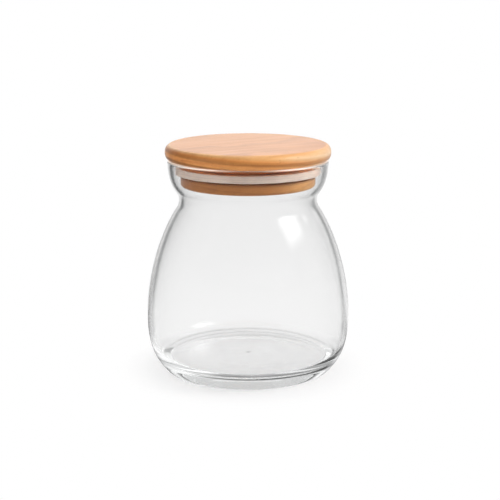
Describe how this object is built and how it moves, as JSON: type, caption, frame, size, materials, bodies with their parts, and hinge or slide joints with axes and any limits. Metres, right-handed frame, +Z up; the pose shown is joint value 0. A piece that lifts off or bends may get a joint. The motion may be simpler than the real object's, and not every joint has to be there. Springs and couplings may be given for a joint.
{
  "type": "storage jar",
  "caption": "Squat glass storage jar with a pinched neck and bell-shaped belly, closed by a round wooden lid whose plug carries a lipped silicone seal.",
  "frame": {"origin": "on the table under the jar's axis, in the plane of the foot ring", "axes": "+Z up along the jar's axis; the wood grain of the lid runs roughly along X"},
  "size_m": [0.1234, 0.1234, 0.1388],
  "materials": {
    "glass": "clear, fire-polished",
    "cap_wood": "satin oiled beech",
    "plug_wood": "satin oiled beech",
    "silicone": "translucent, matt"
  },
  "bodies": {
    "jar": {"glass_jar": "glass"},
    "lid": {"lid_cap": "cap_wood", "lid_plug": "plug_wood", "lid_seal": "silicone"}
  },
  "joints": [
    {"name": "lid_lift", "type": "slide", "parent": "jar", "child": "lid", "axis": [0, 0, 1], "range_m": [0, 0.1]}
  ]
}
